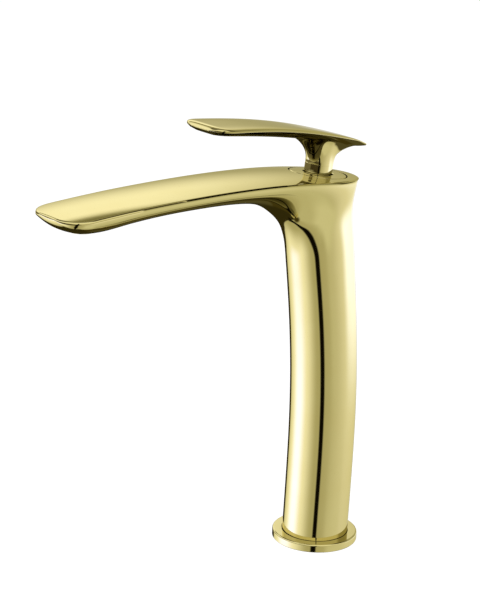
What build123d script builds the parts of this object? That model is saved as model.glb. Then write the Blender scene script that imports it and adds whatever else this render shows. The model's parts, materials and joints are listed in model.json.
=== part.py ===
"""Tall single-lever basin mixer: a round column that bends into a leaf-shaped spout."""
import os
from math import cos, radians, sin, sqrt
from build123d import *

os.makedirs("parts", exist_ok=True)

# Driving dimensions, millimetres. The origin is the middle of the foot on the deck.
# The spout points to -Y, the back of the tap is +Y.
flange_r = 29.0
flange_h = 5.6
flange_edge_r = 1.0
flange_foot_chamfer = 0.4
foot_gap = 0.4
column_r = 22.4
column_bore_r = 17.6
column_bore_top = 200.0
column_bore_top_forward = 7.2
reach = 221.5

# The cartridge axis leans back, and all inner pieces are set out from its top point.
axis_y = -13.8
axis_z = 258.3
axis_lean = 8.0
lean = radians(axis_lean)

# Column centres, as (height, distance towards the front).
column_centres = ((0, 0.0), (65, -1.6), (130, 0.0))

# Sections through the bend stand on planes that fan out from a line under the arch.
fan_y = -78.0
fan_z = 197.0
arch_r = 47.5
arch_opening = 2.6
# angle from level, distance of the widest point from the fan line, half width, depth outwards
shoulder_fan = ((0, 70.9, 22.4, 22.4), (8, 70.7, 22.4, 22.1), (14, 70.7, 22.4, 22.3),
                (24, 71.7, 22.4, 24.3), (31, 75.0, 22.9, 30.8), (37, 80.0, 24.2, 39.8),
                (46, 84.0, 26.5, 48.4))
neck_fan = ((46, 84.0, 26.5, 48.4), (60, 75.0, 26.9, 48.3), (75, 66.8, 26.3, 45.0),
            (90, 64.0, 25.9, 42.0))
# distance to the front, height of the edge, half width, depth of the keel under the edge
spout_sections = ((98, 261.6, 25.5, 12.8), (125, 261.3, 25.2, 12.2), (152, 260.6, 25.0, 12.1),
                  (176, 259.5, 24.8, 13.2), (194, 258.4, 24.7, 14.4), (209, 257.3, 24.6, 11.4),
                  (222, 256.0, 24.5, 4.6))
spout_rise = 42.0
# The crest of the top face, as (distance to the front, height), and its crown across.
crest = ((-50, 248.6), (-14, 255.0), (13.8, 258.7), (42, 261.2), (72, 262.7), (104, 263.1),
         (136, 262.5), (168, 261.2), (200, 259.2), (236, 256.0))
crown = 1.5
crown_half_width = 25.0
# The plan outline trims the spout beyond a distance to the front.
tip_start = 160.0
tip_half_width = 25.2
tip_corner_r = 17.0

# Cartridge stack: heights along the leaning axis, measured from its top point.
cover_r = 19.4
cover_floor = -3.0
cover_hole_r = 9.6
nut_r = 17.0
nut_floor = -12.0
chamber_r = 14.1
chamber_floor = -37.0
housing_r = 13.9
housing_bore_r = 12.4
housing_bottom = -30.0
lid_bottom = -14.0
neck_r = 8.2
neck_top = 3.0
flange_floor = -16.5
carrier_floor = -21.3
moving_floor = -24.8
fixed_floor = -28.3
base_floor = -35.5
disc_r = 7.9
disc_chamfer = 0.4
pivot_h = -6.0
pin_r = 1.5
spindle_w = 7.0
spindle_d = 5.0
spindle_top = 16.0
ball_h = -18.2
ball_r = 2.4
spindle_foot = -10.0
port_x = 4.2
port_y = 3.2
port_r = 2.0
seal_tube_r = 0.75
inlet_x = 5.8
inlet_back = 1.8
inlet_r = 4.5
inlet_top = 217.0
# Room around a seated piece, and around one that moves.
gap = 0.05
loose = 0.3

# Stem and lever.
stem_r = 9.2
collar_floor = -2.6
joint_ball_r = 15.0
lever_reach = 112.6
lever_tip_half_width = 21.0
lever_corner_r = 12.0
lever_rise = 1.6
lever_edge_share = 0.36
# distance to the front, height of the edge, half width, depth of the belly under the edge band
lever_sections = ((-27.5, 271.7, 0.9, 0.5), (-16, 274.9, 6.4, 2.2), (-2, 280.2, 11.2, 3.6),
                  (16, 285.4, 14.8, 4.5), (38, 290.8, 17.0, 4.9), (62, 294.8, 18.4, 4.8),
                  (84, 297.1, 19.6, 4.2), (101, 298.3, 20.7, 3.2), (118, 299.4, 21.2, 1.9))
# height along the axis, lean of the section, half width, depth to the front, depth to the back
stem_sections = ((4.0, 8.0, 9.2, 9.2, 9.2), (8.0, 8.5, 9.3, 9.7, 9.2),
                 (12.0, 9.5, 9.9, 11.2, 12.0), (15.5, 10.5, 11.0, 14.2, 19.0),
                 (18.6, 11.5, 12.2, 18.8, 25.5), (21.4, 12.5, 13.0, 25.0, 28.5))
screw_h = 13.0
screw_r = 2.0
screw_end = 9.2
cap_r = 2.6
cap_end = 11.9

# Foot.
gasket_in_r = 24.0
gasket_out_r = 27.0
gasket_h = 1.2
insert_h = 12.0
insert_gap = 0.6
insert_chamfer = 0.6
hose_x = 10.3
hose_r = 5.4
stud_r = 3.4

# Outlet.
outlet_y = -197.0
outlet_r = 9.15
aerator_bottom = 245.0
aerator_top = 250.4
seal_top = 251.6
channel_w = 17.0
channel_h = 6.4
# The water channel, as (distance to the front, height).
channel_path = ((24, 236.5), (75, 255.0), (130, 256.8), (197, 254.2))
channel_bend_r = 60.0

quarter = 0.5523
cartridge = Plane(origin=(0, axis_y, axis_z), x_dir=(1, 0, 0), z_dir=(0, sin(lean), cos(lean)))


def along_axis(height):
    """Point of the leaning axis at a height from its top point."""
    return (0, axis_y + height * sin(lean), axis_z + height * cos(lean))


def egg(plane, half_width, inner, outer):
    """Closed smooth section with one half depth towards -y and another towards +y."""
    with BuildSketch(plane) as section:
        with BuildLine():
            Bezier((half_width, 0), (half_width, outer * quarter),
                   (half_width * quarter, outer), (0, outer))
            Bezier((0, outer), (-half_width * quarter, outer),
                   (-half_width, outer * quarter), (-half_width, 0))
            Bezier((-half_width, 0), (-half_width, -inner * quarter),
                   (-half_width * quarter, -inner), (0, -inner))
            Bezier((0, -inner), (half_width * quarter, -inner),
                   (half_width, -inner * quarter), (half_width, 0))
        make_face()
    return section.sketch


def fan_section(angle, centre, half_width, outer):
    """Section on a plane through the fan line, tilted up by an angle."""
    turn = radians(angle)
    plane = Plane(origin=(0, fan_y + centre * cos(turn), fan_z + centre * sin(turn)),
                  x_dir=(1, 0, 0), z_dir=(0, -sin(turn), cos(turn)))
    arch = arch_r + arch_opening * (angle / 90) ** 3
    return egg(plane, half_width, centre - arch, outer)


def level_section(height, forward, radius):
    """Round section of the column."""
    plane = Plane(origin=(0, -forward, height), x_dir=(1, 0, 0), z_dir=(0, 0, 1))
    return egg(plane, radius, radius, radius)


def spout_section(forward, height, half_width, keel):
    """Upright section of the spout, open upwards until the top face cuts it."""
    plane = Plane(origin=(0, -forward, height), x_dir=(1, 0, 0), z_dir=(0, -1, 0))
    return egg(plane, half_width, keel, spout_rise)


# Everything above the top face: a wide crowned strip swept along the crest.
strip_half = 45.0
strip_h = 70.0
crown_r = (crown_half_width ** 2 + crown ** 2) / (2 * crown)
strip_drop = crown_r - sqrt(crown_r ** 2 - strip_half ** 2)
with BuildPart() as above_top:
    with BuildLine(Plane.YZ) as crest_line:
        Spline(*[(-forward, height) for forward, height in crest])
    crest_path = crest_line.line
    strip_plane = Plane(origin=crest_path @ 0, x_dir=(1, 0, 0), z_dir=crest_path % 0)
    with BuildSketch(strip_plane) as strip:
        with BuildLine():
            ThreePointArc((-strip_half, -strip_drop), (0, 0), (strip_half, -strip_drop))
            Polyline((strip_half, -strip_drop), (strip_half, strip_h), (-strip_half, strip_h),
                     (-strip_half, -strip_drop))
        make_face()
    sweep(sections=strip.sketch, path=crest_path)

# Body: column, bend and spout in one skin, hollow for the hoses and the cartridge.
with BuildPart() as body_casting:
    loft(sections=[level_section(z, f, column_r) for z, f in column_centres]
         + [fan_section(*shoulder_fan[0])])
    loft(sections=[fan_section(*section) for section in shoulder_fan])
    loft(sections=[fan_section(*section) for section in neck_fan]
         + [spout_section(*section) for section in spout_sections])
    add(above_top.part, mode=Mode.SUBTRACT)
    with BuildSketch(Plane.XY) as outline:
        with Locations((0, -reach / 2)):
            Rectangle(2 * tip_half_width, reach)
        fillet(outline.vertices().group_by(Axis.Y)[0], tip_corner_r)
        Rectangle(4 * flange_r, 2 * tip_start)
    extrude(amount=axis_z + spout_rise, mode=Mode.INTERSECT)
    loft(sections=[level_section(z, f, column_bore_r) for z, f in column_centres]
         + [level_section(column_bore_top, column_bore_top_forward, column_bore_r)],
         mode=Mode.SUBTRACT)
    for floor, radius in ((cover_floor, cover_r + gap), (nut_floor, nut_r + gap),
                          (chamber_floor, chamber_r)):
        with BuildSketch(cartridge.offset(floor)):
            Circle(radius)
        extrude(amount=spout_rise - floor, mode=Mode.SUBTRACT)
    drill_y = along_axis(chamber_floor)[1] + port_y * cos(lean)
    drill_top = along_axis(chamber_floor)[2]
    for bottom, top, x, y, radius in (
            (column_bore_top, inlet_top, inlet_x, drill_y + inlet_back, inlet_r),
            (inlet_top, drill_top, port_x, drill_y, port_r)):
        with BuildSketch(Plane.XY.offset(bottom)):
            with Locations((-x, y), (x, y)):
                Circle(radius)
        extrude(amount=top - bottom, mode=Mode.SUBTRACT)
    with BuildLine(Plane.YZ) as channel_line:
        FilletPolyline(*[(-forward, height) for forward, height in channel_path],
                       radius=channel_bend_r)
    channel_start = Plane(origin=channel_line.line @ 0, x_dir=(1, 0, 0), z_dir=channel_line.line % 0)
    with BuildSketch(channel_start):
        SlotOverall(channel_w, channel_h)
    sweep(path=channel_line.line, mode=Mode.SUBTRACT)
    with BuildSketch(Plane.XY.offset(seal_top)):
        with Locations((0, outlet_y)):
            Circle(outlet_r)
    extrude(amount=-spout_rise, mode=Mode.SUBTRACT)
body_casting.part.label = "body_casting"
export_step(body_casting.part, "parts/body_casting.step")

# Foot pieces: cover flange, its seal, and the insert that takes the fixing stud.
with BuildPart() as base_flange:
    with BuildSketch():
        Circle(flange_r)
        Circle(column_r + foot_gap, mode=Mode.SUBTRACT)
    extrude(amount=flange_h)
    fillet(base_flange.edges().group_by(Axis.Z)[-1].sort_by(SortBy.LENGTH)[-1], flange_edge_r)
    chamfer(base_flange.edges().group_by(Axis.Z)[0].sort_by(SortBy.LENGTH)[-1],
            flange_foot_chamfer)
    with BuildSketch():
        Circle(gasket_out_r + gap)
        Circle(gasket_in_r - gap, mode=Mode.SUBTRACT)
    extrude(amount=gasket_h, mode=Mode.SUBTRACT)
base_flange.part.label = "base_flange"
export_step(base_flange.part, "parts/base_flange.step")

with BuildPart() as base_gasket:
    with BuildSketch():
        Circle(gasket_out_r)
        Circle(gasket_in_r, mode=Mode.SUBTRACT)
    extrude(amount=gasket_h)
base_gasket.part.label = "base_gasket"
export_step(base_gasket.part, "parts/base_gasket.step")

with BuildPart() as base_insert:
    with BuildSketch():
        Circle(column_bore_r - insert_gap)
        with Locations((-hose_x, 0), (hose_x, 0)):
            Circle(hose_r, mode=Mode.SUBTRACT)
        Circle(stud_r, mode=Mode.SUBTRACT)
    extrude(amount=insert_h)
    chamfer(base_insert.edges().group_by(Axis.Z)[-1].sort_by(SortBy.LENGTH)[-1], insert_chamfer)
base_insert.part.label = "base_insert"
export_step(base_insert.part, "parts/base_insert.step")

# Cover plate: a flush disc whose top follows the crowned top face.
with BuildPart() as cover_plate:
    with BuildSketch(cartridge.offset(cover_floor)):
        Circle(cover_r)
        Circle(cover_hole_r, mode=Mode.SUBTRACT)
    extrude(amount=cover_r)
    add(above_top.part, mode=Mode.SUBTRACT)
cover_plate.part.label = "cover_plate"
export_step(cover_plate.part, "parts/cover_plate.step")

# Retaining nut that holds the cartridge down, with four spanner slots.
nut_top = cover_floor - loose
nut_hole_r = 10.6
spanner_slot_w = 4.0
spanner_slot_l = 6.0
spanner_slot_h = 2.5
with BuildPart() as retaining_nut:
    with BuildSketch(cartridge.offset(nut_floor)):
        Circle(nut_r)
        Circle(nut_hole_r, mode=Mode.SUBTRACT)
    extrude(amount=nut_top - nut_floor)
    with BuildSketch(cartridge.offset(nut_top)):
        with PolarLocations(nut_r, 4):
            Rectangle(spanner_slot_l, spanner_slot_w)
    extrude(amount=-spanner_slot_h, mode=Mode.SUBTRACT)
retaining_nut.part.label = "retaining_nut"
export_step(retaining_nut.part, "parts/retaining_nut.step")

# Cartridge housing: a cup, open below, with a lid that guides the rotor and a front window
# that lets the mixed water into the channel.
window_top = -17.0
window_h = 6.0
window_d = 6.0
with BuildPart() as cartridge_housing:
    with BuildSketch(cartridge.offset(housing_bottom)):
        Circle(housing_r)
    extrude(amount=nut_floor - housing_bottom)
    with BuildSketch(cartridge.offset(housing_bottom)):
        Circle(housing_bore_r)
    extrude(amount=lid_bottom - housing_bottom, mode=Mode.SUBTRACT)
    with BuildSketch(cartridge.offset(lid_bottom)):
        Circle(neck_r + gap)
    extrude(amount=nut_floor - lid_bottom, mode=Mode.SUBTRACT)
    with BuildSketch(cartridge.offset(window_top)):
        with Locations((0, -housing_r)):
            Rectangle(channel_w, window_d)
    extrude(amount=-window_h, mode=Mode.SUBTRACT)
cartridge_housing.part.label = "cartridge_housing"
export_step(cartridge_housing.part, "parts/cartridge_housing.step")

# Rotor: a flange inside the housing and a slotted neck that reaches up into the collar.
slot_w = spindle_w + loose
slot_l = 14.6
rotor_top = lid_bottom - 0.1
with BuildPart() as cartridge_rotor:
    with BuildSketch(cartridge.offset(flange_floor)):
        Circle(housing_bore_r - loose)
    extrude(amount=rotor_top - flange_floor)
    with BuildSketch(cartridge.offset(flange_floor)):
        Circle(neck_r)
    extrude(amount=neck_top - flange_floor)
    with BuildSketch(cartridge.offset(flange_floor)):
        Rectangle(slot_w, slot_l)
    extrude(amount=neck_top - flange_floor, mode=Mode.SUBTRACT)
    with BuildSketch(Plane(origin=along_axis(pivot_h), x_dir=(0, 1, 0), z_dir=(1, 0, 0))):
        Circle(pin_r)
    extrude(amount=neck_r, both=True, mode=Mode.SUBTRACT)
cartridge_rotor.part.label = "cartridge_rotor"
export_step(cartridge_rotor.part, "parts/cartridge_rotor.step")

pin_half_l = neck_r - 0.5
with BuildPart() as pivot_pin:
    with BuildSketch(Plane(origin=along_axis(pivot_h), x_dir=(0, 1, 0), z_dir=(1, 0, 0))):
        Circle(pin_r)
    extrude(amount=pin_half_l, both=True)
pivot_pin.part.label = "pivot_pin"
export_step(pivot_pin.part, "parts/pivot_pin.step")

# Collar: the visible foot of the stem, its top a ball face about the pivot.
with BuildPart() as joint_ball:
    with Locations(along_axis(pivot_h)):
        Sphere(joint_ball_r)
with BuildPart() as stem_collar:
    with BuildSketch(cartridge.offset(collar_floor)):
        Circle(stem_r)
        Circle(neck_r + gap, mode=Mode.SUBTRACT)
    extrude(amount=joint_ball_r)
    add(joint_ball.part, mode=Mode.INTERSECT)
stem_collar.part.label = "stem_collar"
export_step(stem_collar.part, "parts/stem_collar.step")

# Spindle: square in the lever, pinned in the rotor, with a ball at its foot.
ball_neck_r = 1.8
pin_run_gap = 0.03
with BuildPart() as lever_spindle:
    with BuildSketch(cartridge.offset(spindle_foot)):
        Rectangle(spindle_w, spindle_d)
    extrude(amount=spindle_top - spindle_foot)
    with BuildSketch(cartridge.offset(ball_h)):
        Circle(ball_neck_r)
    extrude(amount=spindle_foot - ball_h)
    with Locations(along_axis(ball_h)):
        Sphere(ball_r)
    with BuildSketch(Plane(origin=along_axis(pivot_h), x_dir=(0, 1, 0), z_dir=(1, 0, 0))):
        Circle(pin_r + pin_run_gap)
    extrude(amount=spindle_w, both=True, mode=Mode.SUBTRACT)
lever_spindle.part.label = "lever_spindle"
export_step(lever_spindle.part, "parts/lever_spindle.step")

# Carrier and moving disc slide together under the rotor. At rest the moving disc covers
# both ports, and its back edge clears them as it slides to the front.
socket_floor = carrier_floor + 0.5
socket_w = 2 * ball_r + 2 * loose
socket_l = socket_w + 2.4
with BuildPart() as disc_carrier:
    with BuildSketch(cartridge.offset(carrier_floor)):
        Circle(disc_r)
    extrude(amount=flange_floor - loose - carrier_floor)
    with BuildSketch(cartridge.offset(socket_floor)):
        SlotOverall(socket_l, socket_w)
    extrude(amount=flange_floor - socket_floor, mode=Mode.SUBTRACT)
disc_carrier.part.label = "disc_carrier"
export_step(disc_carrier.part, "parts/disc_carrier.step")

with BuildPart() as moving_disc:
    with BuildSketch(cartridge.offset(moving_floor)):
        Circle(disc_r)
    extrude(amount=carrier_floor - moving_floor)
    chamfer(moving_disc.edges().filter_by(GeomType.CIRCLE), disc_chamfer)
moving_disc.part.label = "moving_disc"
export_step(moving_disc.part, "parts/moving_disc.step")

# Fixed disc, base and seals, all with a hot and a cold port.
ports = ((-port_x, port_y), (port_x, port_y))
disc_room = 0.2
base_room = 0.1
with BuildPart() as fixed_disc:
    with BuildSketch(cartridge.offset(fixed_floor)):
        Circle(housing_bore_r - disc_room)
        with Locations(*ports):
            Circle(port_r, mode=Mode.SUBTRACT)
    extrude(amount=moving_floor - fixed_floor)
fixed_disc.part.label = "fixed_disc"
export_step(fixed_disc.part, "parts/fixed_disc.step")

seal_r = port_r + 0.9
with BuildPart() as cartridge_base:
    with BuildSketch(cartridge.offset(housing_bottom)):
        Circle(housing_bore_r - base_room)
    extrude(amount=fixed_floor - housing_bottom)
    with BuildSketch(cartridge.offset(base_floor)):
        Circle(housing_r)
    extrude(amount=housing_bottom - base_floor)
    with BuildSketch(cartridge.offset(base_floor)):
        with Locations(*ports):
            Circle(port_r)
    extrude(amount=fixed_floor - base_floor, mode=Mode.SUBTRACT)
cartridge_base.part.label = "cartridge_base"
export_step(cartridge_base.part, "parts/cartridge_base.step")

with BuildPart() as base_seals:
    with Locations(cartridge.offset(base_floor - seal_tube_r)):
        with Locations(*ports):
            Torus(seal_r, seal_tube_r)
base_seals.part.label = "base_seals"
export_step(base_seals.part, "parts/base_seals.step")


def lever_section(forward, height, half_width, keel):
    """Upright section of the lever blade: crowned top, upright edge band and round belly."""
    plane = Plane(origin=(0, -forward, height), x_dir=(1, 0, 0), z_dir=(0, -1, 0))
    band = -keel * lever_edge_share
    belly = band - keel
    with BuildSketch(plane) as section:
        with BuildLine():
            Bezier((half_width, 0), (half_width, lever_rise * quarter),
                   (half_width * quarter, lever_rise), (0, lever_rise))
            Bezier((0, lever_rise), (-half_width * quarter, lever_rise),
                   (-half_width, lever_rise * quarter), (-half_width, 0))
            Line((-half_width, 0), (-half_width, band))
            Bezier((-half_width, band), (-half_width, band - keel * quarter),
                   (-half_width * quarter, belly), (0, belly))
            Bezier((0, belly), (half_width * quarter, belly),
                   (half_width, band - keel * quarter), (half_width, band))
            Line((half_width, band), (half_width, 0))
        make_face()
    return section.sketch


def stem_section(height, section_lean, half_width, front, back):
    """Section of the stem, leaning a little more as it flares into the blade."""
    turn = radians(section_lean)
    plane = Plane(origin=along_axis(height), x_dir=(1, 0, 0), z_dir=(0, sin(turn), cos(turn)))
    return egg(plane, half_width, front, back)


# Lever: a thin leaf-shaped blade on a stem that flares into it, cupped over the collar.
stem_back = 20.0
screw_plane = Plane(origin=along_axis(screw_h), x_dir=(1, 0, 0), z_dir=cartridge.y_dir)
with BuildPart() as cup_ball:
    with Locations(along_axis(pivot_h)):
        Sphere(joint_ball_r + loose)
with BuildPart() as lever_handle:
    loft(sections=[lever_section(*section) for section in lever_sections])
    with BuildSketch(Plane.XY.offset(axis_z)) as blade_outline:
        Rectangle(2 * lever_tip_half_width, 2 * lever_reach)
        fillet(blade_outline.vertices().group_by(Axis.Y)[0], lever_corner_r)
    extrude(amount=lever_reach, mode=Mode.INTERSECT)
    loft(sections=[stem_section(*section) for section in stem_sections])
    add(cup_ball.part, mode=Mode.SUBTRACT)
    with BuildSketch(cartridge.offset(neck_top)):
        Rectangle(spindle_w + 2 * gap, spindle_d + 2 * gap)
    extrude(amount=spindle_top + gap - neck_top, mode=Mode.SUBTRACT)
    with BuildSketch(screw_plane):
        Circle(screw_r + gap)
    extrude(amount=stem_back, mode=Mode.SUBTRACT)
    with BuildSketch(screw_plane.offset(screw_end)):
        Circle(cap_r + gap)
    extrude(amount=stem_back, mode=Mode.SUBTRACT)
lever_handle.part.label = "lever_handle"
export_step(lever_handle.part, "parts/lever_handle.step")

screw_start = spindle_d / 2
screw_head = screw_end - loose
hex_key_r = 1.25
hex_key_h = 2.5
with BuildPart() as set_screw:
    with BuildSketch(screw_plane.offset(screw_start)):
        Circle(screw_r)
    extrude(amount=screw_head - screw_start)
    with BuildSketch(screw_plane.offset(screw_head)):
        RegularPolygon(hex_key_r, 6)
    extrude(amount=-hex_key_h, mode=Mode.SUBTRACT)
set_screw.part.label = "set_screw"
export_step(set_screw.part, "parts/set_screw.step")

cap_edge_r = 0.4
with BuildPart() as screw_cap:
    with BuildSketch(screw_plane.offset(screw_end)):
        Circle(cap_r)
    extrude(amount=cap_end - screw_end)
    fillet(screw_cap.edges().sort_by(Axis.Y)[-1], cap_edge_r)
screw_cap.part.label = "screw_cap"
export_step(screw_cap.part, "parts/screw_cap.step")

# Aerator in the tip: a ring, the honeycomb that breaks the jet, and a seal above.
aerator_wall = 1.5
aerator_bore_r = outlet_r - aerator_wall
with BuildPart() as aerator_housing:
    with BuildSketch(Plane.XY.offset(aerator_bottom)):
        with Locations((0, outlet_y)):
            Circle(outlet_r - gap)
            Circle(aerator_bore_r, mode=Mode.SUBTRACT)
    extrude(amount=aerator_top - aerator_bottom)
aerator_housing.part.label = "aerator_housing"
export_step(aerator_housing.part, "parts/aerator_housing.step")

screen_z = aerator_bottom + 0.8
screen_h = 2.4
cell_pitch_r = 1.25
cell_r = 1.0
cells = 5
with BuildPart() as aerator_screen:
    with BuildSketch(Plane.XY.offset(screen_z)):
        with Locations((0, outlet_y)):
            Circle(aerator_bore_r - gap)
            with HexLocations(cell_pitch_r, cells, cells):
                RegularPolygon(cell_r, 6, mode=Mode.SUBTRACT)
    extrude(amount=screen_h)
aerator_screen.part.label = "aerator_screen"
export_step(aerator_screen.part, "parts/aerator_screen.step")

with BuildPart() as aerator_seal:
    with BuildSketch(Plane.XY.offset(aerator_top)):
        with Locations((0, outlet_y)):
            Circle(outlet_r - gap)
            Circle(aerator_bore_r, mode=Mode.SUBTRACT)
    extrude(amount=seal_top - aerator_top)
aerator_seal.part.label = "aerator_seal"
export_step(aerator_seal.part, "parts/aerator_seal.step")
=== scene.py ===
import json
import math
import bpy
import bmesh
import numpy as np
from mathutils import Matrix, Vector
from mathutils.bvhtree import BVHTree
from mathutils.kdtree import KDTree


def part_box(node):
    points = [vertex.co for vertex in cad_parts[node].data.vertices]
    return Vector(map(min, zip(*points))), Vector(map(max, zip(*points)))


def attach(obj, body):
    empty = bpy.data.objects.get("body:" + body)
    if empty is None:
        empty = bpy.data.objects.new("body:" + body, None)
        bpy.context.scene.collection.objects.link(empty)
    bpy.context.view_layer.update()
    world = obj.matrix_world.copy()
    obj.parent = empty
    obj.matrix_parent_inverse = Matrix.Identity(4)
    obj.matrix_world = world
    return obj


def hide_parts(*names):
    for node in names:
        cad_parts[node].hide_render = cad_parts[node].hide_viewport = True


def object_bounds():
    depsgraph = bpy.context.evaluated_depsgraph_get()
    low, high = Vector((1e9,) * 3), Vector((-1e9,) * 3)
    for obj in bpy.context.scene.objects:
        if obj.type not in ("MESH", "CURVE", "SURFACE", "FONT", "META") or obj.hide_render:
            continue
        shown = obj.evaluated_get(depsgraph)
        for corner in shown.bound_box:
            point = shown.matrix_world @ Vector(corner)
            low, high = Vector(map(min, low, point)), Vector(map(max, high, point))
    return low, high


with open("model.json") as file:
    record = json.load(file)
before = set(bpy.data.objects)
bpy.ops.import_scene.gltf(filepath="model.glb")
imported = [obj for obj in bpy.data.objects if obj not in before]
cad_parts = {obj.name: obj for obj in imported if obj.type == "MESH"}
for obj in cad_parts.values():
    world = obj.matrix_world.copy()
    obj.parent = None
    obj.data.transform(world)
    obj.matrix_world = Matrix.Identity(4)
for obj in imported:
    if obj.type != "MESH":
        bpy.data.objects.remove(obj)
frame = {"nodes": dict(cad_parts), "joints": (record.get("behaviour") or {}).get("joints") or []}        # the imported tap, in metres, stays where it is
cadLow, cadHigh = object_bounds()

scene = bpy.context.scene
mm = 0.001    # sizes below are written in millimetres
nodes = frame["nodes"]
joints = {joint["name"]: joint for joint in frame["joints"]}
print("frame loaded:", len(nodes), "nodes")


# general helpers

def spline(rows, places):    # smooth curve that runs close by its control rows
    rows = np.asarray(rows, float)
    rows = np.vstack([2 * rows[0] - rows[1], rows, 2 * rows[-1] - rows[-2]])
    places = np.asarray(places, float)
    start = np.clip(np.floor(places).astype(int), 0, len(rows) - 4)
    s = (places - start)[:, None]
    weights = ((1 - s) ** 3, 3 * s ** 3 - 6 * s ** 2 + 4, -3 * s ** 3 + 3 * s ** 2 + 3 * s + 1, s ** 3)
    return sum(w * rows[start + k] for k, w in enumerate(weights)) / 6


def splineTable(rows, column=0, samples=3000):    # a smooth table that can be read by one column
    places = np.linspace(0, len(rows) - 1, samples)
    table = spline(rows, places)

    def read(value):
        return [np.interp(value, table[:, column], table[:, k]) for k in range(table.shape[1])]
    return read


def smoothStep(low, high, value):
    s = np.clip((value - low) / (high - low), 0, 1)
    return s * s * (3 - 2 * s)


def unit(vectors):
    return vectors / np.linalg.norm(vectors, axis=1)[:, None]


def makePiece(name, points, faces, body):
    mesh = bpy.data.meshes.new(name)
    mesh.from_pydata([tuple(p) for p in np.asarray(points) * mm], [], faces)
    mesh.validate()
    piece = bpy.data.objects.new(name, mesh)
    scene.collection.objects.link(piece)
    build = bmesh.new()
    build.from_mesh(mesh)
    bmesh.ops.remove_doubles(build, verts=build.verts, dist=1e-6)
    bmesh.ops.recalc_face_normals(build, faces=build.faces)
    for face in build.faces:
        face.smooth = True
    build.to_mesh(mesh)
    build.free()
    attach(piece, body)
    return piece


def softenEdges(piece, width, angle=35, segments=3):    # small round on every sharp edge
    bevel = piece.modifiers.new("edge round", "BEVEL")
    bevel.width = width * mm
    bevel.segments = segments
    bevel.limit_method = "ANGLE"
    bevel.angle_limit = math.radians(angle)
    bevel.harden_normals = False
    weighted = piece.modifiers.new("even normals", "WEIGHTED_NORMAL")
    weighted.keep_sharp = False
    return piece


def gridFaces(rows, closed=False):    # quads between rows of point numbers
    faces = []
    for near, far in zip(rows[:-1], rows[1:]):
        count = len(near)
        last = count if closed else count - 1
        for k in range(last):
            faces.append((near[k], near[(k + 1) % count], far[(k + 1) % count], far[k]))
    return faces


class Points:    # collects points and hands out their numbers
    def __init__(self):
        self.all = []

    def add(self, rows):
        first = len(self.all)
        self.all.extend(np.asarray(rows, float).reshape(-1, 3).tolist())
        return list(range(first, len(self.all)))

    def at(self, numbers):
        return np.array([self.all[k] for k in numbers])


def ringSpokes(points, edge, ring, height, steps):    # patch between a closed edge and a ring
    edgePlan = points.at(edge)[:, :2]
    rows = [edge]
    for k in range(1, steps + 1):
        share = 1 - math.cos(k / steps * math.pi / 2)    # closer together at the edge
        plan = edgePlan * (1 - share) + ring * share
        rows.append(points.add(np.column_stack([plan, height(plan[:, 0], plan[:, 1])])))
    return rows, gridFaces(rows, closed=True)


def lathe(profile, segments=160):    # profile of (radius, height) turned about z, closed on itself
    points = Points()
    turns = np.linspace(0, 2 * math.pi, segments, endpoint=False)
    rows = []
    for radius, height in profile:
        rows.append(points.add(np.column_stack([radius * np.cos(turns), radius * np.sin(turns),
                                                np.full(segments, height)])))
    return np.array(points.all), gridFaces(rows + rows[:1], closed=True)


def arc(centreR, centreZ, radius, start, end, steps=6):    # points of a small round, angles in degrees
    turns = np.radians(np.linspace(start, end, steps))
    return [(centreR + radius * math.cos(a), centreZ + radius * math.sin(a)) for a in turns]


# the leaning axis on which stem and lever turn

axisTop = Vector(joints["temperature_turn"]["pos_m"]) / mm
axisUp = Vector(joints["temperature_turn"]["axis"]).normalized()
axisBack = Vector((1, 0, 0)).cross(axisUp) * -1


def onAxis(points):    # from the upright frame of the stem to the leaning one
    points = np.asarray(points, float)
    side, back, up = np.array((1.0, 0, 0)), np.array(axisBack), np.array(axisUp)
    return np.array(axisTop) + points[:, :1] * side + points[:, 1:2] * back + points[:, 2:3] * up


# body: column, arch and spout in one skin

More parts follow.
